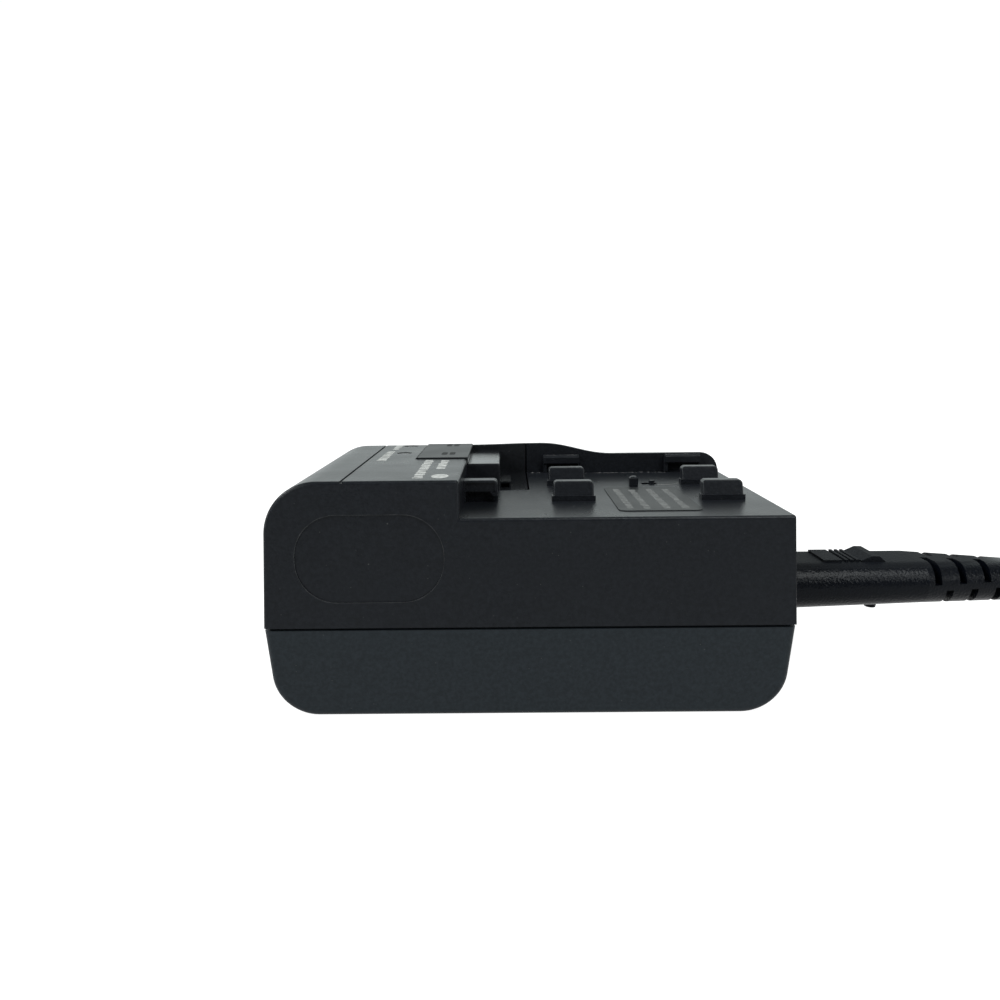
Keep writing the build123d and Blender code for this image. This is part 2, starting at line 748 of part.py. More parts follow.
# Mains lead: moulded connector, cord, coil, tie and plug
def lead_connector():
    front_x = right_x + fit
    front = across(front_x, SlotOverall(*body_front), 0, body_front_z)
    rear = across(body_rear_x, SlotOverall(*body_rear), 0, body_rear_z)
    body = loft([front, rear])
    tip_size = relief_end_size
    relief_sizes = (body_rear, tip_size)
    outer = loft([rear, across(relief_end_x, SlotOverall(*tip_size), 0, cord_z)])
    cut = relief_slot_depth
    core_rear, core_tip = [SlotOverall(w - 2 * cut, h - 2 * cut) for w, h in relief_sizes]
    core = loft([across(body_rear_x, core_rear, 0, body_rear_z), across(relief_end_x, core_tip, 0, cord_z)])
    for step in range(3):
        x = body_rear_x + 2.0 + step * relief_pitch
        for side in (-1, 1):
            up_x = x + (relief_stagger if side > 0 else 0)
            upper = box(up_x - relief_slot / 2, up_x + relief_slot / 2, relief_spine, 12, inlet_z + 0.4, inlet_z + 9)
            low_x = x + relief_pitch / 2
            lower = box(low_x - relief_slot / 2, low_x + relief_slot / 2, relief_spine, 12, inlet_z - 9, inlet_z - 0.8)
            for slot in (upper, lower):
                slot = slot if side > 0 else mirror(slot, about=Plane.XZ)
                outer = outer - (slot - core)
    nose = across(front_x - nose_length, SlotOverall(*nose_size), 0, inlet_z)
    body = body + outer + extrude(nose, amount=nose_length)
    for side in (-1, 1):
        y = side * pin_pitch / 2
        bore = Pos(front_x - nose_length, y, inlet_z) * Rot(0, 90, 0)
        body = body - bore * Cylinder(pin_diameter / 2 + 0.1, 14)
    return body + connector_grip()


def connector_grip():
    # Raised pad, three ribs and a thumb wedge on top, and a small bump underneath
    top = inlet_z + body_front[1] / 2 - 0.65
    root = top - 0.6
    pad_length, pad_height = grip_pad
    rib, rib_height = grip_rib
    body = box(grip_x, grip_x + pad_length, -grip_half, grip_half, root, top + pad_height)
    for step in range(3):
        x = grip_x + pad_length + 0.9 + step * grip_rib_pitch
        body = body + box(x - rib / 2, x + rib / 2, -grip_half, grip_half, root, top + rib_height)
    x = grip_x + pad_length + 0.5 + 3 * grip_rib_pitch
    wedge = [(x, root), (x, top + 0.65), (x + 2.0, top + 1.55), (x + 3.5, top + 1.5), (x + 5.4, top - 0.1),
             (x + 5.4, root)]
    body = body + span_y(side_face(wedge), -grip_half, grip_half)
    low = inlet_z - body_front[1] / 2 + 1.05
    bump = [(x + 0.4, low), (x + 1.1, low - 0.95), (x + 2.8, low - 0.95), (x + 3.8, low)]
    return body + span_y(side_face(bump), -grip_half + 1.8, grip_half - 1.8)


def bend_radii(points):
    radii = []
    for before, here, after in zip(points, points[1:], points[2:]):
        run_in = Vector(*here) - Vector(*before)
        run_out = Vector(*after) - Vector(*here)
        half_turn = math.radians(run_in.get_angle(run_out)) / 2
        radii.append(0.45 * min(run_in.length, run_out.length) / math.tan(half_turn))
    return radii


def cord_tube(points):
    radii = bend_radii(points)
    print("bend radii", [round(r, 1) for r in radii])
    path = FilletPolyline(*points, radius=radii)
    start = Plane(origin=path @ 0, z_dir=path % 0)
    return sweep(start * Circle(cord_diameter / 2), path=path)


def coil_ring():
    x, y = coil_centre
    ring = Cylinder(coil_outer, coil_height) - Cylinder(coil_inner, coil_height)
    rims = ring.edges().filter_by(GeomType.CIRCLE)
    return Pos(x, y, coil_height / 2) * fillet(rims, cord_diameter / 2 - 0.3)


def tie_at(grow):
    # Block round the coil's bundle on its far side
    x, y = coil_centre
    y0, y1 = y + coil_inner - grow, y + coil_outer + grow
    block = box(x - tie_width / 2, x + tie_width / 2, y0, y1, tie_thick - grow, coil_height + grow)
    long_edges = block.edges().filter_by(Axis.X)
    return fillet(long_edges, 1.2 + grow)


def mains_cord_coil():
    x, y = coil_centre
    under = box(x - tie_width / 2, x + tie_width / 2, y, y + coil_outer + 5, -1, tie_thick)
    return coil_ring() - under


def cord_tie():
    return tie_at(tie_thick) - tie_at(0) - mains_cord_coil()


def mains_plug():
    px, py, pz = tail_points[-1]
    sx, sy, sz = plug_size
    body = box(plug_x, plug_x + sx, py - sy / 2, py + sy / 2, 0, sz)
    body = fillet(body.edges().filter_by(Axis.X), 3.0)
    body = chamfer(body.faces().sort_by(Axis.X)[0].edges(), 1.5)
    relief = Pos(px + plug_relief / 2, py, pz) * Rot(0, 90, 0) * Cone(*plug_relief_radii, plug_relief)
    for step in range(4):
        x = px + 2.3 + step * 3.0
        core = cord_diameter / 2 + 0.1
        slot = box(x, x + 1.1, py - sy / 2, py + sy / 2, 0, sz)
        relief = relief - (slot - box(x, x + 1.1, py - core, py + core, 0, sz))
    return body + relief


def plug_blades():
    py = tail_points[-1][1]
    sx = plug_size[0]
    bl, bt, bw = blade_size
    mid_z = plug_size[2] / 2
    blades = []
    for side in (-1, 1):
        y = py + side * blade_pitch / 2
        blade = box(plug_x + sx, plug_x + sx + bl, y - bt / 2, y + bt / 2, mid_z - bw / 2, mid_z + bw / 2)
        tip = [e for e in blade.edges().filter_by(Axis.Y) if e.center().X > plug_x + sx + 1]
        blade = chamfer(tip, 1.6)
        hole = Pos(plug_x + sx + bl - 3.5, y, mid_z) * Rot(90, 0, 0) * Cylinder(1.5, 5)
        blades.append(blade - hole)
    return Compound(children=blades)


def case_screws():
    screws = []
    for x, y in screw_places:
        under = screw_seat_z - screw_head_height
        head = rod(x, y, under, screw_seat_z, screw_head)
        for turn in (0, 90):
            head = head - Pos(x, y, under) * Rot(0, 0, turn) * Box(3.2, 0.7, 1.6)
        screws.append(head + rod(x, y, screw_seat_z, screw_seat_z + screw_length, screw_diameter))
    return Compound(children=screws)


ring = coil_ring()
lead_tube = cord_tube(lead_points)
tail_tube = cord_tube(tail_points)
for name, tube in (("lead", lead_tube), ("tail", tail_tube)):
    print(name, "tube volume", round(tube.volume, 1))

parts = {
    "upper_housing": upper_housing(),
    "lower_housing": lower_housing(),
    "terminal_carrier": terminal_carrier(),
    "rating_label": rating_label(),
    "charge_light_pipe": light_pipe(lamp_rows[0]),
    "full_light_pipe": light_pipe(lamp_rows[1]),
    "charge_led": indicator_led(lamp_rows[0]),
    "full_led": indicator_led(lamp_rows[1]),
    "circuit_board": circuit_board(),
    "transformer_core": transformer_core(),
    "transformer_winding": transformer_winding(),
    "primary_capacitor": can_capacitor(*primary_place, *primary_size),
    "output_capacitor_near": can_capacitor(output_x, output_rows[0], *output_size),
    "output_capacitor_far": can_capacitor(output_x, output_rows[1], *output_size),
    "line_choke": line_choke(),
    "mains_fuse": mains_fuse(),
    "bridge_rectifier": bridge_rectifier(),
    "control_chip": control_chip(),
    "heat_sink": heat_sink(),
    "switching_transistor": switching_transistor(),
    "optocoupler": optocoupler(),
    "safety_capacitor": safety_capacitor(),
    "inlet_socket": inlet_socket(),
    "inlet_pins": inlet_pins(),
    "case_screws": case_screws(),
    "lead_connector": lead_connector(),
    "mains_cord_lead": lead_tube - ring,
    "mains_cord_coil": mains_cord_coil(),
    "mains_cord_tail": tail_tube - ring,
    "cord_tie": cord_tie(),
    "mains_plug": mains_plug(),
    "plug_blades": plug_blades(),
}
for name, y in zip(("positive", "signal", "negative"), contact_rows()):
    parts["terminal_contact_" + name] = terminal_contact(y)

os.makedirs("parts", exist_ok=True)
for name, solid in parts.items():
    export_step(solid, f"parts/{name}.step")
    print(name, len(solid.solids()), round(solid.volume, 1))
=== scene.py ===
# Looks for the camera battery charger: satin black mouldings, its mains lead, and a soft bright studio.
import json
import math
import random

import bmesh
import bpy
from mathutils import Matrix, Vector


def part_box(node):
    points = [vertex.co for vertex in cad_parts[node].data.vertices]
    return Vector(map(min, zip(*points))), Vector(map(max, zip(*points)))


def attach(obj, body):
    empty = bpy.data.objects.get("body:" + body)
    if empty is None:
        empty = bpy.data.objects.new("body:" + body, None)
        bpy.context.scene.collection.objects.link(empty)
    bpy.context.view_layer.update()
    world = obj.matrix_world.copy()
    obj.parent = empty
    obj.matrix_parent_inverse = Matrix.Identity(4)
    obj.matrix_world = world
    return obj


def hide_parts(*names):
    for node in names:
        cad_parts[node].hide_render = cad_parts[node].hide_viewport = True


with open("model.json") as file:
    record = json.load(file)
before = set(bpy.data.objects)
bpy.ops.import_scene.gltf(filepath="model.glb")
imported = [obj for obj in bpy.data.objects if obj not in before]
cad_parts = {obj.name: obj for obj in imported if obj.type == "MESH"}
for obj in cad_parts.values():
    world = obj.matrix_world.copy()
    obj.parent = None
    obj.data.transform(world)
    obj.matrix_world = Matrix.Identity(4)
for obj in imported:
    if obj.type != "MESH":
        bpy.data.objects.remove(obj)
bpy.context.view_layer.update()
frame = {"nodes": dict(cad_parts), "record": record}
nodes = frame["nodes"]
MM = 0.001
random.seed(7)

# Camera, in millimetres and degrees
CAMERA_AT = (-3.432, -178.436, 62.308)
CAMERA_YAW = -0.519
CAMERA_DOWN = 9.33
CAMERA_ROLL = -0.635
SENSOR = 36.0
LENS = 0.9 * SENSOR


def make_camera():
    yaw, down, roll = (math.radians(a) for a in (CAMERA_YAW, CAMERA_DOWN, CAMERA_ROLL))
    ahead = Vector((math.sin(yaw) * math.cos(down), math.cos(yaw) * math.cos(down), -math.sin(down)))
    level = Vector((math.cos(yaw), -math.sin(yaw), 0))
    upward = level.cross(ahead)
    right = level * math.cos(roll) + upward * math.sin(roll)
    up = upward * math.cos(roll) - level * math.sin(roll)
    data = bpy.data.cameras.new("camera")
    data.sensor_width = SENSOR
    data.lens = LENS
    data.clip_start = 0.01
    camera = bpy.data.objects.new("camera", data)
    turn = Matrix((right, up, -ahead)).transposed()
    camera.matrix_world = Matrix.Translation(Vector(CAMERA_AT) * MM) @ turn.to_4x4()
    bpy.context.scene.collection.objects.link(camera)
    bpy.context.scene.camera = camera


make_camera()

# Mains cord, millimetres: the route to the coil and from it, and the coil's turns
CORD = 5.0
LEAD = [(97.95, 0, 15.85), (107.95, 0, 15.85), (117.95, -2.6, 13.9), (127.35, -8.5, 10.0),
        (133.95, -16.6, 6.2), (142.15, -22.9, 3.6), (152.15, -26.5, 2.7)]
TAIL = [(160.45, -27.15, 7.65), (169.95, -26.2, 7.0), (178.95, -23.6, 6.5), (186.95, -23.6, 6.5)]
COIL_CENTRE = (158.95, 8.0)
COIL_OUTER_TURN = 35.15
COIL_PITCH = 5.1
COIL_TURNS = 4
LOW_LAYER = 2.6
HIGH_LAYER = 7.65
# Angles round the coil, degrees: where the lead joins, where the tail leaves, the tie, the climb and the step
LEAD_ANGLE = 258.9
TAIL_ANGLE = 270
TIE_ANGLE = 90
CLIMB = 160.0
TURN_STEP = 15.0
# The tie's band lifts the low layer: fully up to the first distance from it, and not past the second
TIE_LIFT = 0.6
TIE_REACH = (3.0, 14.0)


def smooth(value, start, end):
    share = min(1.0, max(0.0, (value - start) / (end - start)))
    return share * share * (3 - 2 * share)


def coil_points():
    # The low layer spirals inwards, climbs, and the high layer spirals back out to where the tail leaves
    climb = LEAD_ANGLE + 360 * (COIL_TURNS - 1)
    top = climb + CLIMB
    end = TAIL_ANGLE + 360 * (2 * COIL_TURNS - 2)
    inner = COIL_OUTER_TURN - COIL_PITCH * (COIL_TURNS - 1)
    top_inner = COIL_OUTER_TURN - COIL_PITCH * (end - top) / 360
    points = []
    angle = LEAD_ANGLE + TURN_STEP
    while angle < end - TURN_STEP / 2:
        rise = smooth(angle, climb, top)
        if angle < climb:
            radius = COIL_OUTER_TURN - COIL_PITCH * (angle - LEAD_ANGLE) / 360
        elif angle < top:
            radius = inner + (top_inner - inner) * rise
        else:
            radius = COIL_OUTER_TURN - COIL_PITCH * (end - angle) / 360
        from_tie = abs((angle % 360) - TIE_ANGLE) * radius * math.pi / 180
        near_tie = 1 - smooth(from_tie, *TIE_REACH)
        z = LOW_LAYER + (HIGH_LAYER - LOW_LAYER) * rise + TIE_LIFT * near_tie * (1 - rise)
        turn = math.radians(angle)
        x = COIL_CENTRE[0] + radius * math.cos(turn)
        y = COIL_CENTRE[1] + radius * math.sin(turn)
        points.append((x, y, z))
        angle += TURN_STEP
    return points


def make_cord():
    points = LEAD + coil_points() + TAIL
    curve = bpy.data.curves.new("mains_cord", "CURVE")
    curve.dimensions = "3D"
    # The points' radius sets the thickness, which keeps the curve's own box true
    curve.bevel_depth = 1.0
    curve.bevel_resolution = 5
    curve.use_fill_caps = True
    spline = curve.splines.new("NURBS")
    spline.points.add(len(points) - 1)
    for point, place in zip(spline.points, points):
        point.co = (*(Vector(place) * MM), 1)
        point.radius = CORD / 2 * MM
    spline.order_u = 3
    spline.use_endpoint_u = True
    spline.resolution_u = 5
    cord = bpy.data.objects.new("mains_cord", curve)
    bpy.context.scene.collection.objects.link(cord)
    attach(cord, "root")
    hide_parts("mains_cord_lead", "mains_cord_coil", "mains_cord_tail")
    return cord


cord = make_cord()


# Material building blocks
class Looks:
    def __init__(self, name):
        self.material = bpy.data.materials.new(name)
        self.material.use_nodes = True
        self.tree = self.material.node_tree
        self.shader = self.tree.nodes["Principled BSDF"]
        self.place = self.node("ShaderNodeTexCoord").outputs["Object"]

    def node(self, kind, **inputs):
        made = self.tree.nodes.new(kind)
        for key, value in inputs.items():
            self.feed(made.inputs[key], value)
        return made

    def feed(self, socket, value):
        if isinstance(value, bpy.types.NodeSocket):
            self.tree.links.new(value, socket)
        else:
            socket.default_value = value

    def noise(self, scale, detail=2.0, rough=0.5):
        made = self.node("ShaderNodeTexNoise", Scale=scale, Detail=detail, Roughness=rough)
        self.feed(made.inputs["Vector"], self.place)
        return made.outputs["Fac"]

    def spots(self, scale, size):
        # Sparse round specks: 1 in the middle of each, 0 outside, in about one cell of eight
        made = self.node("ShaderNodeTexVoronoi", Scale=scale)
        self.feed(made.inputs["Vector"], self.place)
        near = self.span(made.outputs["Distance"], size, size * 0.5, 0, 1)
        pick = self.node("ShaderNodeSeparateColor")
        self.feed(pick.inputs[0], made.outputs["Color"])
        few = self.span(pick.outputs[0], 0.86, 0.9, 0, 1)
        return self.math("MULTIPLY", near, few)

    def span(self, value, low, high, to_low, to_high):
        made = self.node("ShaderNodeMapRange")
        for index, item in enumerate((value, low, high, to_low, to_high)):
            self.feed(made.inputs[index], item)
        return made.outputs[0]

    def math(self, how, a, b):
        made = self.node("ShaderNodeMath")
        made.operation = how
        self.feed(made.inputs[0], a)
        self.feed(made.inputs[1], b)
        return made.outputs[0]

    def mix(self, share, a, b):
        made = self.node("ShaderNodeMix")
        made.data_type = "RGBA"
        self.feed(made.inputs["Factor"], share)
        for key, value in (("A", a), ("B", b)):
            socket = [s for s in made.inputs if s.name == key and s.type == "RGBA"][0]
            self.feed(socket, value)
        return [s for s in made.outputs if s.type == "RGBA"][0]

    def bump(self, height, strength, distance):
        made = self.node("ShaderNodeBump", Strength=strength, Distance=distance, Height=height)
        self.feed(self.shader.inputs["Normal"], made.outputs[0])

    def set(self, **inputs):
        for key, value in inputs.items():
            self.feed(self.shader.inputs[key.replace("_", " ")], value)

    def specular(self, level):
        self.shader.inputs["Specular IOR Level"].default_value = level


def shade(colour, factor):
    return (*(c * factor for c in colour), 1)


# Shared by the mouldings: the scale of handling clouds, pale grain and gloss patches, and two colours
CLOUD_SCALE = 45
FINE_SCALE = 1500
PATCH_SCALE = 120
SPECK_COLOUR = (0.045, 0.048, 0.047, 1)
GLOSS_TINT = (0.95, 1.0, 1.0, 1)
# Metres over which a top face turns duller
DULLING = 0.0003


def moulded(name, colour, rough, specular=0.3, grain=2600, bump=0.25, depth=0.00006, dust=0.6,
            extra=None):
    # Spark-textured plastic: a fine pale grain, faint handling clouds and a few dust specks
    looks = Looks(name)
    cloud = looks.noise(CLOUD_SCALE, 3, 0.55)
    fine = looks.span(looks.noise(FINE_SCALE, 2, 0.6), 0.35, 0.7, 0, 1)
    base = looks.mix(cloud, shade(colour, 0.9), shade(colour, 1.1))
    base = looks.mix(looks.math("MULTIPLY", fine, 0.5), base, shade(colour, 1.9))
    specks = looks.math("ADD", looks.spots(300, 0.05), looks.spots(1000, 0.1))
    base = looks.mix(looks.math("MULTIPLY", specks, dust), base, SPECK_COLOUR)
    roughness = looks.span(looks.noise(PATCH_SCALE, 2), 0.3, 0.7, rough - 0.02, rough + 0.02)
    if extra:
        roughness = extra(looks, roughness)
    looks.set(Base_Color=base, Roughness=roughness)
    looks.specular(specular)
    looks.shader.inputs["Specular Tint"].default_value = GLOSS_TINT
    looks.bump(looks.noise(grain, 1.5), bump, depth)
    return looks.material


def duller_above(height, rough):
    # Roughness rises to a duller top face above a height in metres
    def extra(looks, roughness):
        parts = looks.node("ShaderNodeSeparateXYZ")
        looks.feed(parts.inputs[0], looks.place)
        above = looks.span(parts.outputs["Z"], height, height + DULLING, 0, 1)
        lift = looks.math("MULTIPLY", above, rough)
        return looks.math("ADD", roughness, lift)
    return extra


materials = {
    "housing_upper": moulded("satin_black_upper", (0.0046, 0.0053, 0.0065), 0.29, 0.08,
                             grain=2200, bump=0.8),
    # The lower moulding's base is lighter than the upper's: painted light, standing in for the floor's bounce
    # on its downward-leaning faces
    "housing_lower": moulded("satin_black_lower", (0.0072, 0.0095, 0.0114), 0.4, 0.09,
                             grain=2200, bump=0.6),
    "carrier": moulded("dull_black_carrier", (0.005, 0.0056, 0.0064), 0.17, 0.08,
                       extra=duller_above(0.041, 0.22)),
    "label_film": moulded("label_film", (0.0098, 0.0106, 0.0109), 0.37, 0.055,
                          grain=4000, bump=0.15, dust=0.3),
    "lead_moulding": moulded("soft_black_moulding", (0.001, 0.0014, 0.0024), 0.29, 0.078,
                             grain=2100, bump=1.0, depth=0.0001, extra=duller_above(0.0199, 0.38)),
    "cord_sheath": moulded("black_sheath", (0.0075, 0.0082, 0.009), 0.55, 0.08, grain=1800),
    "inlet_plastic": moulded("inlet_plastic", (0.01, 0.01, 0.011), 0.5),
    "chip_resin": moulded("chip_resin", (0.02, 0.02, 0.021), 0.55),
}


def metal(name, colour, rough, streak=900):
    looks = Looks(name)
    grain = looks.noise(streak, 3)
    looks.set(Base_Color=looks.mix(grain, shade(colour, 0.85), shade(colour, 1.08)))
    looks.set(Roughness=looks.span(grain, 0.3, 0.7, rough - 0.06, rough + 0.08))
    looks.shader.inputs["Metallic"].default_value = 1.0
    looks.bump(grain, 0.1, 0.00003)
    return looks.material


def coated(name, colour, rough, scale=500, bump=0.1):
    looks = Looks(name)
    grain = looks.noise(scale, 3)
    looks.set(Base_Color=looks.mix(grain, shade(colour, 0.85), shade(colour, 1.1)))
    looks.set(Roughness=looks.span(grain, 0.3, 0.7, rough - 0.05, rough + 0.06))
    looks.bump(grain, bump, 0.00004)
    return looks.material


materials.update({
    "contact_metal": metal("gold_contact", (0.75, 0.6, 0.3), 0.25),
    "screw_steel": metal("black_zinc", (0.12, 0.12, 0.125), 0.35),
    "blade_metal": metal("nickel_blade", (0.68, 0.66, 0.6), 0.28),
    "heat_sink": metal("heat_sink", (0.75, 0.76, 0.78), 0.4),
    "choke_winding": metal("choke_winding", (0.6, 0.25, 0.1), 0.3),
    "ferrite": coated("ferrite", (0.06, 0.06, 0.065), 0.5),
    "light_pipe": coated("smoked_pipe", (0.05, 0.052, 0.052), 0.2),
    "led_resin": coated("led_resin", (0.6, 0.3, 0.08), 0.2),
    "board": coated("board", (0.35, 0.24, 0.1), 0.5),
    "winding_tape": coated("winding_tape", (0.6, 0.42, 0.04), 0.35),
    "capacitor_sleeve": coated("capacitor_sleeve", (0.02, 0.03, 0.06), 0.3),
    "fuse_ceramic": coated("fuse_ceramic", (0.7, 0.68, 0.62), 0.4),
    "disc_resin": coated("disc_resin", (0.04, 0.2, 0.45), 0.25),
    "tie": coated("tie", (0.012, 0.012, 0.013), 0.8, scale=1500, bump=0.6),
})


def dress(obj, slot):
    obj.data.materials.clear()
    obj.data.materials.append(materials[slot])


for part in frame["record"]["subparts"]:
    dress(nodes[part["node"]], part["material_slot"])
dress(cord, "cord_sheath")


# Thin print, a pale line round the side panel, dust and a pip, in millimetres: each outline is laid on what
# carries it and raised
def thin_piece(name, outlines, material):
    # Each outline is a closed loop of points, the way it faces, its thickness and its taper
    build = bmesh.new()
    for loop, facing, thick, taper in outlines:
        low = [build.verts.new(Vector(q) * MM) for q in loop]
        lift = Vector(facing) * thick * MM
        middle = sum((v.co for v in low), Vector()) / len(low)
        high = [build.verts.new(middle + (v.co - middle) * taper + lift) for v in low]
        build.faces.new(high)
        build.faces.new(low[::-1])
        for i in range(len(loop)):
            j = (i + 1) % len(loop)
            build.faces.new((low[i], low[j], high[j], high[i]))
    bmesh.ops.recalc_face_normals(build, faces=build.faces)
    mesh = bpy.data.meshes.new(name)
    build.to_mesh(mesh)
    build.free()
    mesh.materials.append(material)
    piece = bpy.data.objects.new(name, mesh)
    bpy.context.scene.collection.objects.link(piece)
    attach(piece, "root")


UP = (0, 0, 1)
DOWN = (0, 0, -1)
NEAR = (0, -1, 0)
PRINT_THICK = 0.02


def bar(x, y, z, wide, deep, corner):
    # A bar with cut corners, lying on a level face
    w, d, c = wide / 2, deep / 2, min(corner, wide / 3, deep / 3)
    loop = [(-w + c, -d), (w - c, -d), (w, -d + c), (w, d - c),
            (w - c, d), (-w + c, d), (-w, d - c), (-w, -d + c)]
    return [(x + u, y + v, z) for u, v in loop], UP, PRINT_THICK, 1


def bars_along(x, y0, y1, z, wide, least, most, gap):
    made = []
    y = y0
    while y < y1 - least:
        deep = min(random.uniform(least, most), y1 - y)
        bar_x = x + random.uniform(-0.05, 0.05)
        bar_wide = wide * random.uniform(0.75, 1)
        made.append(bar(bar_x, y + deep / 2, z, bar_wide, deep, 0.15))
        y += deep + gap * random.uniform(0.7, 1.6)
    return made


def oval(x, y, z, across, along, count):
    return [(x + across * math.cos(t), y + along * math.sin(t), z)
            for t in (math.tau * i / count for i in range(count))]


def print_looks(name, colour):
    looks = Looks(name)
    worn = looks.span(looks.noise(900, 3, 0.6), 0.3, 0.7, 0, 1)
    looks.set(Base_Color=looks.mix(worn, shade(colour, 0.55), shade(colour, 1.15)))
    looks.set(Roughness=looks.span(looks.noise(300, 2), 0.3, 0.7, 0.5, 0.6))
    looks.specular(0.06)
    looks.bump(looks.noise(2500, 2), 0.2, 0.00003)
    return looks.material


# The guard wall stands a little above the block
GUARD_RISE = 0.3
label_low, label_high = (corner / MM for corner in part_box("rating_label"))
block_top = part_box("upper_housing")[1].z / MM - GUARD_RISE
carrier_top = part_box("terminal_carrier")[1].z / MM
# Rows on the label, from its left edge, and how far they stay from its near and far edges
LABEL_ROWS = (2.2, 5.1, 8.6, 11.8)
LABEL_MARGIN = 1.6
LABEL_RAGGED = 3.4
# Rows on the block: place, near end, far end, width, shortest bar, longest bar and gap
CAPTIONS = ((-28.4, -2.0, 15.0, 2.0, 0.8, 1.6, 0.4), (-28.0, 18.0, 27.4, 1.7, 0.8, 1.6, 0.4),
            (-18.8, -27.8, -1.8, 1.9, 0.9, 2.2, 0.5), (-15.7, -15.4, -1.8, 1.8, 0.9, 2.2, 0.5))
OVAL_AT = (-15.1, -25.4)
OVAL_RADII = (1.5, 2.6)
CARRIER_MARKS_X = (-16.45, -14.85)
CARRIER_MARKS_Y = (7.3, 24.0)


def make_print():
    rows = []
    for x in LABEL_ROWS:
        y0, y1 = label_low.y + LABEL_MARGIN, label_high.y - random.uniform(LABEL_MARGIN, LABEL_RAGGED)
        rows += bars_along(label_low.x + x, y0, y1, label_high.z, 1.45, 0.35, 0.9, 0.32)
    thin_piece("label_rows", rows, print_looks("faint_ink", (0.105, 0.11, 0.108)))
    marks = []
    for x, y0, y1, *spacing in CAPTIONS:
        marks += bars_along(x, y0, y1, block_top, *spacing)
    marks.append((oval(*OVAL_AT, block_top, *OVAL_RADII, 28), UP, PRINT_THICK, 1))
    thin_piece("caption_bars", marks, print_looks("pale_ink", (0.29, 0.3, 0.29)))
    dark = [bar(x, y, carrier_top, 1.15, 4.2, 0.3) for y in CARRIER_MARKS_Y for x in CARRIER_MARKS_X]
    thin_piece("carrier_marks", dark, print_looks("dark_marks", (0.002, 0.002, 0.0022)))


# A pale line drawn round the side panel's edge: left, right, low, high, corner radius, on a face that leans
# back
PANEL = (-39.4, -14.3, 20.85, 35.7, 7.0)
PANEL_FOOT = (-31.7, 16.4)
PANEL_LEAN = math.tan(math.radians(2.0))
EDGE_WIDTHS = (0.05, 0.14)
EDGE_START = 0.01
EDGE_THICK = 0.012
CORNER_STEPS = 12
STRAIGHT_STEPS = 10


def panel_point(x, z):
    return (x, PANEL_FOOT[0] + PANEL_LEAN * (z - PANEL_FOOT[1]), z)


def panel_path():
    # Corner centres with the way outwards from them, round the corners and along the straights between
    left, right, low, high, radius = PANEL
    centres = ((right - radius, high - radius), (left + radius, high - radius),
               (left + radius, low + radius), (right - radius, low + radius))
    path = []
    for quarter, (x, z) in enumerate(centres):
        for i in range(CORNER_STEPS + 1):
            turn = math.radians(90 * quarter + 90 / CORNER_STEPS * i)
            path.append((x, z, math.cos(turn), math.sin(turn)))
        x2, z2 = centres[(quarter + 1) % 4]
        turn = math.radians(90 * (quarter + 1))
        for i in range(1, STRAIGHT_STEPS):
            share = i / STRAIGHT_STEPS
            path.append((x + (x2 - x) * share, z + (z2 - z) * share, math.cos(turn), math.sin(turn)))
    return path


def make_panel_edge():
    path = panel_path()
    inner = PANEL[4] + EDGE_START
    outers = [PANEL[4] + random.uniform(*EDGE_WIDTHS) for _ in path]
    pieces = []
    for i, (x, z, u, v) in enumerate(path):
        j = (i + 1) % len(path)
        x2, z2, u2, v2 = path[j]
        loop = [panel_point(x + u * inner, z + v * inner),
                panel_point(x + u * outers[i], z + v * outers[i]),
                panel_point(x2 + u2 * outers[j], z2 + v2 * outers[j]),
                panel_point(x2 + u2 * inner, z2 + v2 * inner)]
        pieces.append((loop, NEAR, EDGE_THICK, 1))
    # A pale colour laid in a thin strip along the panel's edge
    thin_piece("panel_edge", pieces, print_looks("pale_panel_line", (0.024, 0.026, 0.027)))


# Dust on the housing: a ray from this height finds the face, which is level and above this height in metres
RAY_START = 60
LEVEL = 0.98
LOWEST = 0.03
# Where a fine fibre lies on the deck
FIBRE = [(27.3, 5.3), (28.9, 5.4), (31.0, 6.1), (32.5, 8.1)]
FIBRE_HALF = 0.07


def level_under(x, y):
    # Height of the upper housing under a point where it is level there, in millimetres
    start = Vector((x, y, RAY_START)) * MM
    found, place, facing, _ = nodes["upper_housing"].ray_cast(start, Vector(DOWN))
    return place.z / MM if found and facing.z > LEVEL and place.z > LOWEST else None


def fleck(x, y, long, wide):
    z = level_under(x, y)
    turn = random.uniform(-0.5, 0.5)
    cos, sin = math.cos(turn), math.sin(turn)
    loop = []
    for i in range(6):
        a = math.tau * i / 6
        u = long / 2 * math.cos(a) * random.uniform(0.7, 1)
        v = wide / 2 * math.sin(a) * random.uniform(0.7, 1)
        loop.append((x + u * cos - v * sin, y + u * sin + v * cos, z))
    return [(loop, UP, 0.015, 0.8)] if z else []


def make_dust():
    flecks = []
    # Along the foot of the guard wall, then anywhere on the deck
    for _ in range(90):
        flecks += fleck(random.uniform(2, 38), random.uniform(25.2, 26.2), random.uniform(0.2, 0.8), 0.14)
    for _ in range(60):
        flecks += fleck(random.uniform(-9, 44), random.uniform(-30, 24), random.uniform(0.08, 0.22), 0.12)
    for (x, y), (x2, y2) in zip(FIBRE, FIBRE[1:]):
        z = level_under((x + x2) / 2, (y + y2) / 2)
        side = Vector((y - y2, x2 - x)).normalized() * FIBRE_HALF
        loop = [(x - side.x, y - side.y, z), (x2 - side.x, y2 - side.y, z),
                (x2 + side.x, y2 + side.y, z), (x + side.x, y + side.y, z)]
        flecks.append((loop, UP, 0.03, 0.9))
    thin_piece("dust", flecks, print_looks("pale_dust", (0.16, 0.162, 0.158)))


# The small pip that the mould leaves under the connector: place, radii, lowest height, and how far it sinks in
PIP_AT = (70.2, 0.0)
PIP_RADII = (1.4, 1.8)
PIP_LOW = 10.35
PIP_SINK = 0.01


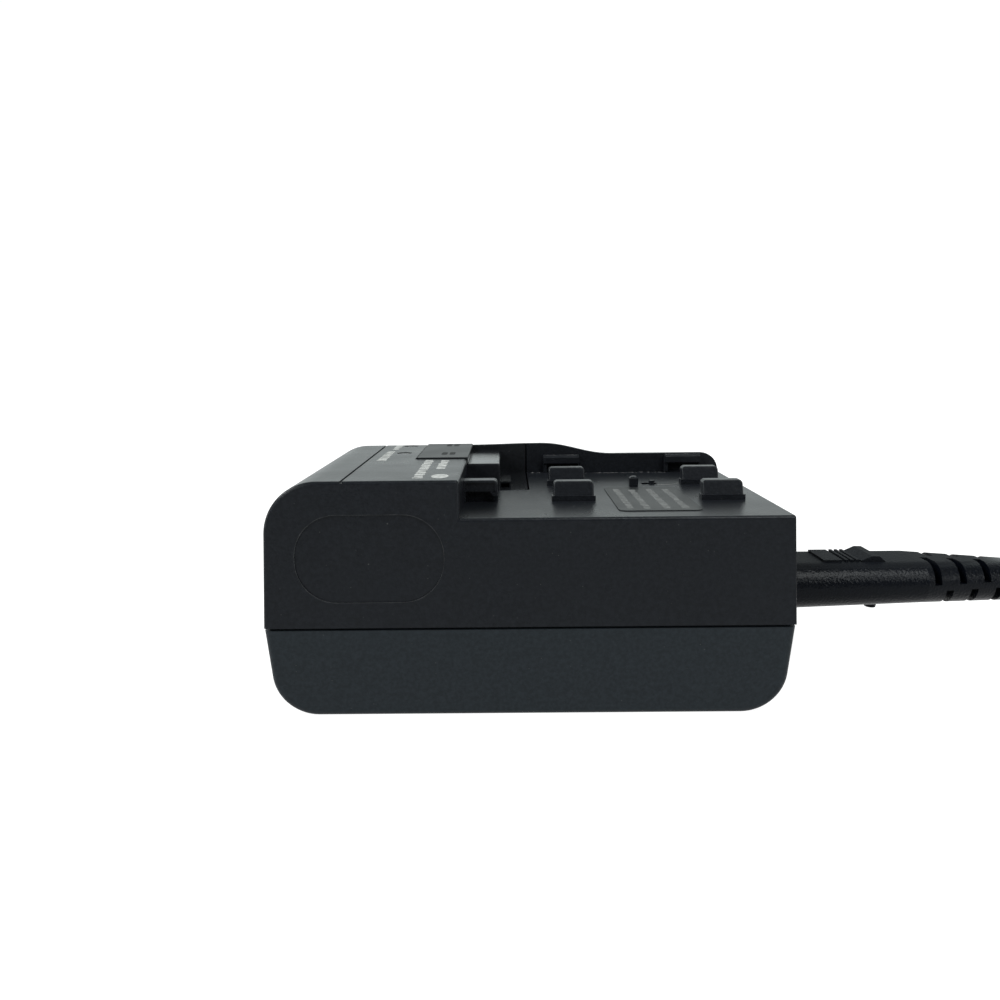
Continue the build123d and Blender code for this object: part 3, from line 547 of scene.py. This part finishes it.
def make_moulding_pip():
    start = Vector((*PIP_AT, 1)) * MM
    _, place, _, _ = nodes["lead_connector"].ray_cast(start, Vector(UP))
    base = place.z / MM
    loop = oval(*PIP_AT, base + PIP_SINK, *PIP_RADII, 20)
    thin_piece("moulding_pip", [(loop, DOWN, base - PIP_LOW, 0.75)],
               materials["lead_moulding"])


bpy.context.view_layer.update()
make_print()
make_panel_edge()
make_dust()
make_moulding_pip()


# Studio: a white table that is lit from below, a bright backdrop and soft suns
FLOOR_HALF = 6
FLOOR_LIT = 0.94
BRIGHT = 1.02
DIM = 0.12
WHITE = (1, 1, 1, 1)
# The backdrop's colour where the object mirrors it
BACKDROP = (0.92, 1.0, 0.99, 1)
# Suns: which way their light goes, strength and spread in degrees
SUNS = {
    "overhead": ((-0.28, 0.44, -0.85), 2.4, 28),
    "left_top": ((0.74, 0.02, -0.67), 3.4, 20),
    "left_side": ((0.97, 0.22, -0.1), 1.3, 26),
    "right_side": ((-0.97, 0.22, -0.1), 1.1, 26),
    "front_left": ((0.6, 0.7, -0.5), 1.3, 18),
    "front_right": ((-0.6, 0.7, -0.5), 0.9, 18),
}


def make_floor():
    mesh = bpy.data.meshes.new("floor")
    build = bmesh.new()
    bmesh.ops.create_grid(build, x_segments=1, y_segments=1, size=FLOOR_HALF)
    build.to_mesh(mesh)
    build.free()
    floor = bpy.data.objects.new("floor", mesh)
    bpy.context.scene.collection.objects.link(floor)
    looks = Looks("pale_floor")
    looks.set(Base_Color=looks.mix(looks.noise(3, 2), (0.16, 0.16, 0.16, 1), (0.18, 0.18, 0.18, 1)))
    looks.set(Roughness=looks.span(looks.noise(5, 2), 0, 1, 0.75, 0.85))
    looks.specular(0.1)
    looks.shader.inputs["Emission Color"].default_value = WHITE
    looks.shader.inputs["Emission Strength"].default_value = FLOOR_LIT
    mesh.materials.append(looks.material)


def make_world():
    # Bright backdrop behind the object, dim room behind the camera, and plain white where it is seen
    world = bpy.data.worlds.new("studio")
    bpy.context.scene.world = world
    world.use_nodes = True
    tree = world.node_tree
    place = tree.nodes.new("ShaderNodeTexCoord")
    parts = tree.nodes.new("ShaderNodeSeparateXYZ")
    tree.links.new(place.outputs["Generated"], parts.inputs[0])
    span = tree.nodes.new("ShaderNodeMapRange")
    span.interpolation_type = "SMOOTHSTEP"
    for index, value in enumerate((0, -0.15, 0.6, DIM, BRIGHT)):
        span.inputs[index].default_value = value
    tree.links.new(parts.outputs["Y"], span.inputs[0])
    seen = tree.nodes.new("ShaderNodeLightPath")
    pick = tree.nodes.new("ShaderNodeMix")
    tree.links.new(seen.outputs["Is Camera Ray"], pick.inputs["Factor"])
    tree.links.new(span.outputs[0], pick.inputs["A"])
    pick.inputs["B"].default_value = BRIGHT
    back = tree.nodes["Background"]
    tree.links.new(pick.outputs["Result"], back.inputs["Strength"])
    tint = tree.nodes.new("ShaderNodeMix")
    tint.data_type = "RGBA"
    tree.links.new(seen.outputs["Is Camera Ray"], tint.inputs["Factor"])
    for key, colour in (("A", BACKDROP), ("B", WHITE)):
        [s for s in tint.inputs if s.name == key and s.type == "RGBA"][0].default_value = colour
    tree.links.new([s for s in tint.outputs if s.type == "RGBA"][0], back.inputs["Color"])


def soft_sun(name, direction, strength, spread):
    data = bpy.data.lights.new(name, "SUN")
    data.energy = strength
    data.angle = math.radians(spread)
    light = bpy.data.objects.new(name, data)
    light.rotation_euler = Vector(direction).to_track_quat("-Z", "Y").to_euler()
    bpy.context.scene.collection.objects.link(light)


make_floor()
make_world()
for sun, values in SUNS.items():
    soft_sun(sun, *values)
bpy.context.scene.view_settings.view_transform = "Standard"
